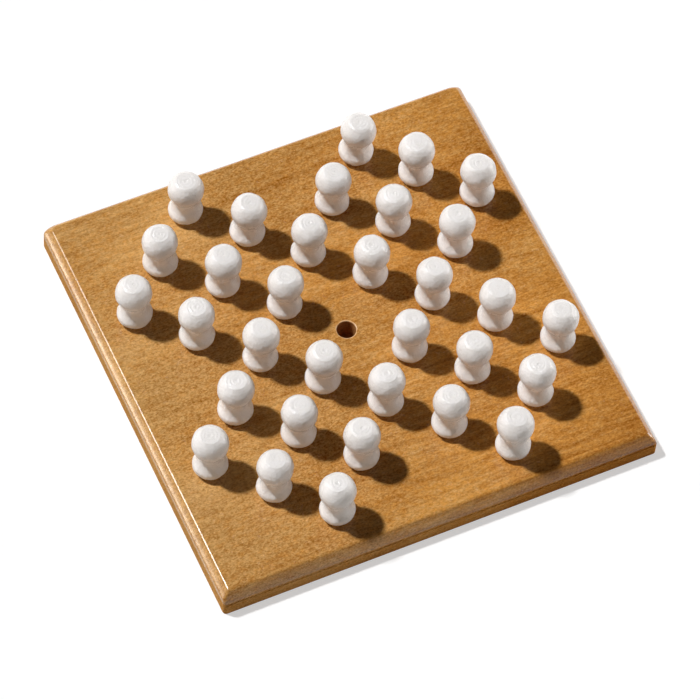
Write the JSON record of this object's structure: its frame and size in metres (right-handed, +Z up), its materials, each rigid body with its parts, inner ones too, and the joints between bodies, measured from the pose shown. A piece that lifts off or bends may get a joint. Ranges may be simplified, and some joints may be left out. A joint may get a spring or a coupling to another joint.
{
  "type": "peg solitaire game",
  "caption": "Square moulded wooden board with a diagonal cross of blind holes, empty in the middle, and white turned pegs that lift straight out of the others.",
  "frame": {"origin": "middle of the board's flat underside, straight below the empty middle hole", "axes": "+Z up out of the board's top face, X and Y along the board's sides, grain along X"},
  "size_m": [0.2, 0.2, 0.0392],
  "materials": {
    "board_wood": "honey-brown fine-grained hardwood under a satin clear varnish",
    "peg_lacquer": "turned hardwood under a semi-gloss white lacquer"
  },
  "bodies": {
    "board": {"board": "board_wood"},
    "peg_01": {"peg_01": "peg_lacquer"},
    "peg_02": {"peg_02": "peg_lacquer"},
    "peg_03": {"peg_03": "peg_lacquer"},
    "peg_04": {"peg_04": "peg_lacquer"},
    "peg_05": {"peg_05": "peg_lacquer"},
    "peg_06": {"peg_06": "peg_lacquer"},
    "peg_07": {"peg_07": "peg_lacquer"},
    "peg_08": {"peg_08": "peg_lacquer"},
    "peg_09": {"peg_09": "peg_lacquer"},
    "peg_10": {"peg_10": "peg_lacquer"},
    "peg_11": {"peg_11": "peg_lacquer"},
    "peg_12": {"peg_12": "peg_lacquer"},
    "peg_13": {"peg_13": "peg_lacquer"},
    "peg_14": {"peg_14": "peg_lacquer"},
    "peg_15": {"peg_15": "peg_lacquer"},
    "peg_16": {"peg_16": "peg_lacquer"},
    "peg_17": {"peg_17": "peg_lacquer"},
    "peg_18": {"peg_18": "peg_lacquer"},
    "peg_19": {"peg_19": "peg_lacquer"},
    "peg_20": {"peg_20": "peg_lacquer"},
    "peg_21": {"peg_21": "peg_lacquer"},
    "peg_22": {"peg_22": "peg_lacquer"},
    "peg_23": {"peg_23": "peg_lacquer"},
    "peg_24": {"peg_24": "peg_lacquer"},
    "peg_25": {"peg_25": "peg_lacquer"},
    "peg_26": {"peg_26": "peg_lacquer"},
    "peg_27": {"peg_27": "peg_lacquer"},
    "peg_28": {"peg_28": "peg_lacquer"},
    "peg_29": {"peg_29": "peg_lacquer"},
    "peg_30": {"peg_30": "peg_lacquer"},
    "peg_31": {"peg_31": "peg_lacquer"},
    "peg_32": {"peg_32": "peg_lacquer"}
  },
  "joints": [
    {"name": "peg_01_lift", "type": "slide", "parent": "board", "child": "peg_01", "axis": [0, 0, 1], "range_m": [0, 0.02]},
    {"name": "peg_02_lift", "type": "slide", "parent": "board", "child": "peg_02", "axis": [0, 0, 1], "range_m": [0, 0.02]},
    {"name": "peg_03_lift", "type": "slide", "parent": "board", "child": "peg_03", "axis": [0, 0, 1], "range_m": [0, 0.02]},
    {"name": "peg_04_lift", "type": "slide", "parent": "board", "child": "peg_04", "axis": [0, 0, 1], "range_m": [0, 0.02]},
    {"name": "peg_05_lift", "type": "slide", "parent": "board", "child": "peg_05", "axis": [0, 0, 1], "range_m": [0, 0.02]},
    {"name": "peg_06_lift", "type": "slide", "parent": "board", "child": "peg_06", "axis": [0, 0, 1], "range_m": [0, 0.02]},
    {"name": "peg_07_lift", "type": "slide", "parent": "board", "child": "peg_07", "axis": [0, 0, 1], "range_m": [0, 0.02]},
    {"name": "peg_08_lift", "type": "slide", "parent": "board", "child": "peg_08", "axis": [0, 0, 1], "range_m": [0, 0.02]},
    {"name": "peg_09_lift", "type": "slide", "parent": "board", "child": "peg_09", "axis": [0, 0, 1], "range_m": [0, 0.02]},
    {"name": "peg_10_lift", "type": "slide", "parent": "board", "child": "peg_10", "axis": [0, 0, 1], "range_m": [0, 0.02]},
    {"name": "peg_11_lift", "type": "slide", "parent": "board", "child": "peg_11", "axis": [0, 0, 1], "range_m": [0, 0.02]},
    {"name": "peg_12_lift", "type": "slide", "parent": "board", "child": "peg_12", "axis": [0, 0, 1], "range_m": [0, 0.02]},
    {"name": "peg_13_lift", "type": "slide", "parent": "board", "child": "peg_13", "axis": [0, 0, 1], "range_m": [0, 0.02]},
    {"name": "peg_14_lift", "type": "slide", "parent": "board", "child": "peg_14", "axis": [0, 0, 1], "range_m": [0, 0.02]},
    {"name": "peg_15_lift", "type": "slide", "parent": "board", "child": "peg_15", "axis": [0, 0, 1], "range_m": [0, 0.02]},
    {"name": "peg_16_lift", "type": "slide", "parent": "board", "child": "peg_16", "axis": [0, 0, 1], "range_m": [0, 0.02]},
    {"name": "peg_17_lift", "type": "slide", "parent": "board", "child": "peg_17", "axis": [0, 0, 1], "range_m": [0, 0.02]},
    {"name": "peg_18_lift", "type": "slide", "parent": "board", "child": "peg_18", "axis": [0, 0, 1], "range_m": [0, 0.02]},
    {"name": "peg_19_lift", "type": "slide", "parent": "board", "child": "peg_19", "axis": [0, 0, 1], "range_m": [0, 0.02]},
    {"name": "peg_20_lift", "type": "slide", "parent": "board", "child": "peg_20", "axis": [0, 0, 1], "range_m": [0, 0.02]},
    {"name": "peg_21_lift", "type": "slide", "parent": "board", "child": "peg_21", "axis": [0, 0, 1], "range_m": [0, 0.02]},
    {"name": "peg_22_lift", "type": "slide", "parent": "board", "child": "peg_22", "axis": [0, 0, 1], "range_m": [0, 0.02]},
    {"name": "peg_23_lift", "type": "slide", "parent": "board", "child": "peg_23", "axis": [0, 0, 1], "range_m": [0, 0.02]},
    {"name": "peg_24_lift", "type": "slide", "parent": "board", "child": "peg_24", "axis": [0, 0, 1], "range_m": [0, 0.02]},
    {"name": "peg_25_lift", "type": "slide", "parent": "board", "child": "peg_25", "axis": [0, 0, 1], "range_m": [0, 0.02]},
    {"name": "peg_26_lift", "type": "slide", "parent": "board", "child": "peg_26", "axis": [0, 0, 1], "range_m": [0, 0.02]},
    {"name": "peg_27_lift", "type": "slide", "parent": "board", "child": "peg_27", "axis": [0, 0, 1], "range_m": [0, 0.02]},
    {"name": "peg_28_lift", "type": "slide", "parent": "board", "child": "peg_28", "axis": [0, 0, 1], "range_m": [0, 0.02]},
    {"name": "peg_29_lift", "type": "slide", "parent": "board", "child": "peg_29", "axis": [0, 0, 1], "range_m": [0, 0.02]},
    {"name": "peg_30_lift", "type": "slide", "parent": "board", "child": "peg_30", "axis": [0, 0, 1], "range_m": [0, 0.02]},
    {"name": "peg_31_lift", "type": "slide", "parent": "board", "child": "peg_31", "axis": [0, 0, 1], "range_m": [0, 0.02]},
    {"name": "peg_32_lift", "type": "slide", "parent": "board", "child": "peg_32", "axis": [0, 0, 1], "range_m": [0, 0.02]}
  ]
}
